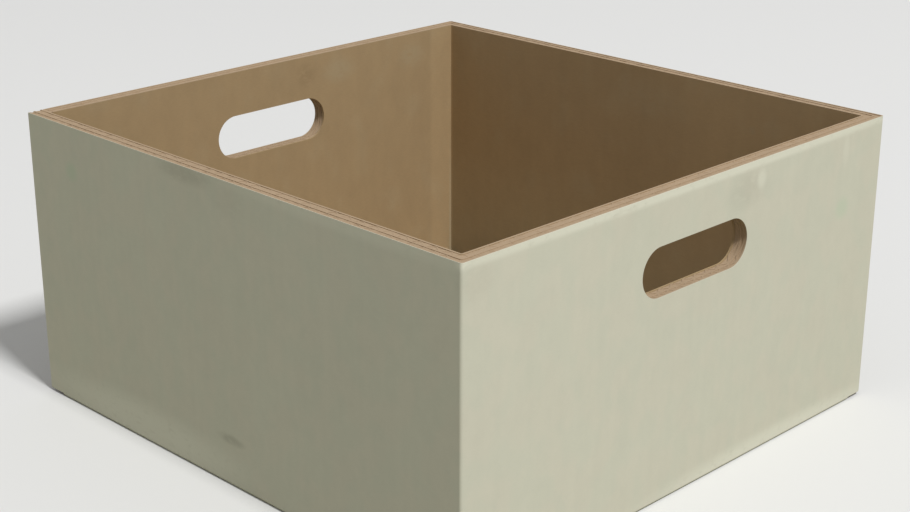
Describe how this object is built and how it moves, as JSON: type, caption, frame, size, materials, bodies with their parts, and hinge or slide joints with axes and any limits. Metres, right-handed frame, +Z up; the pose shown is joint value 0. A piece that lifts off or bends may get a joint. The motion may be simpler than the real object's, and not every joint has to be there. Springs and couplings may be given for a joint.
{
  "type": "storage box base",
  "caption": "Open-topped square storage box base folded from double-wall corrugated board, white outside and kraft inside, with an oval hand hole in each end wall.",
  "frame": {"origin": "centre of the box in plan, on the floor that it stands on", "axes": "+X along the plain side walls, towards the end wall with the hand hole that faces the picture; +Y along the end walls; +Z up"},
  "size_m": [0.305, 0.2986, 0.1515],
  "materials": {
    "white_board": "matte",
    "kraft_board": "matte"
  },
  "bodies": {
    "root": {"box_base": "white_board"}
  },
  "joints": []
}
